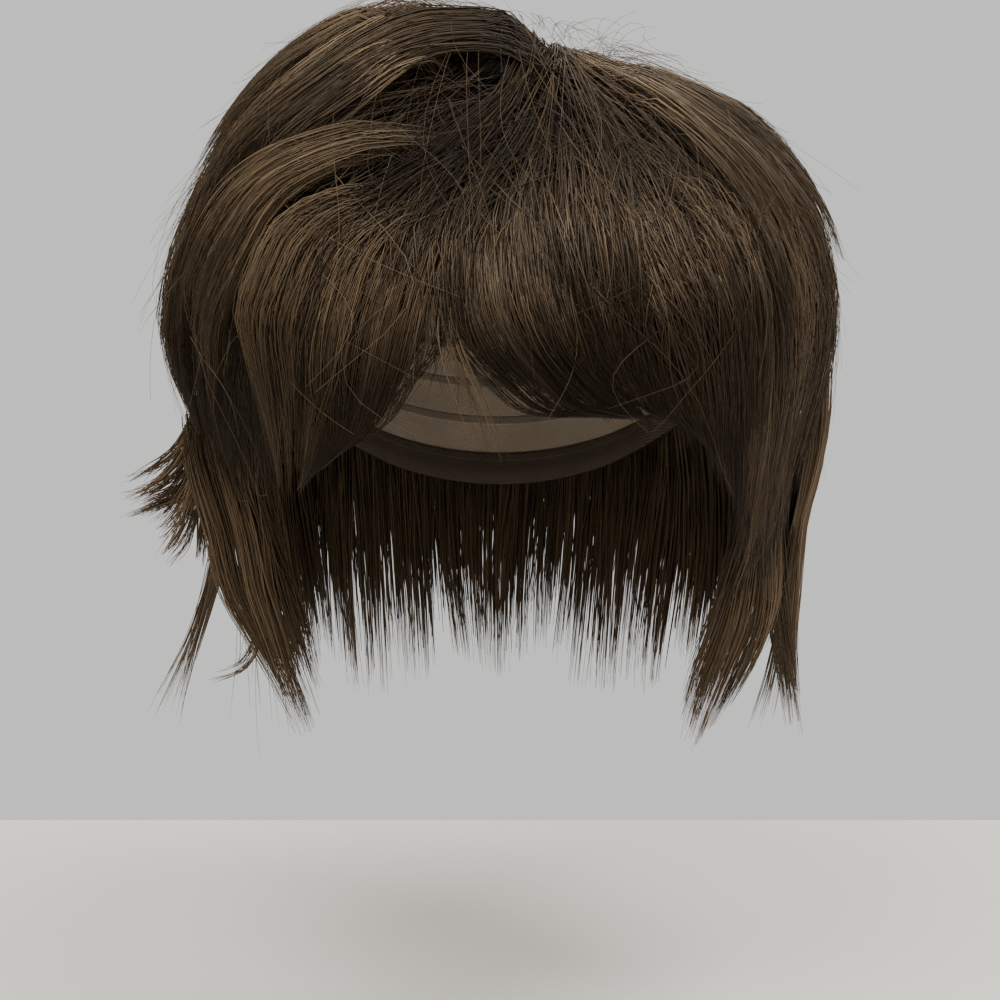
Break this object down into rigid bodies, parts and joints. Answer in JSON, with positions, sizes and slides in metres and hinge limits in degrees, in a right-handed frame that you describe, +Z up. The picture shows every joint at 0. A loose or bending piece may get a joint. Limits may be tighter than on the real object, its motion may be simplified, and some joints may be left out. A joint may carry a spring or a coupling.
{
  "type": "short shag wig",
  "caption": "Short layered shag wig: an open net cap under brown locks that fan out from an off-centre whorl to a parted curtain fringe, with longer locks at the ears and nape.",
  "frame": {"origin": "the point inside the top of the cap that sits on the crown of the wearer's head", "axes": "+Z up out of the head, face side towards -Y, wearer's left towards +X"},
  "size_m": [0.2262, 0.2303, 0.2288],
  "materials": {
    "top_hair": "satin synthetic hair, medium brown with darker roots",
    "under_hair": "satin synthetic hair, darker brown",
    "cap_net": "matt stretch net"
  },
  "bodies": {
    "root": {"cap": "cap_net", "crown_back_1": "top_hair", "crown_back_2": "top_hair", "crown_back_3": "top_hair", "crown_back_4": "top_hair", "crown_left_1": "top_hair", "crown_left_2": "top_hair", "crown_left_3": "top_hair", "crown_right_1": "top_hair", "crown_right_2": "top_hair", "crown_right_3": "top_hair", "flick_right": "under_hair", "fringe_left_1": "top_hair", "fringe_left_2": "top_hair", "fringe_left_3": "top_hair", "fringe_left_4": "top_hair", "fringe_right_1": "top_hair", "fringe_right_2": "top_hair", "fringe_right_3": "top_hair", "fringe_right_4": "top_hair", "nape_1": "under_hair", "nape_2": "under_hair", "nape_3": "under_hair", "nape_4": "under_hair", "nape_5": "under_hair", "side_left_1": "under_hair", "side_left_2": "under_hair", "side_right": "under_hair", "temple_left": "top_hair", "temple_right": "top_hair", "whorl": "top_hair", "wisp_right": "under_hair"}
  },
  "joints": []
}
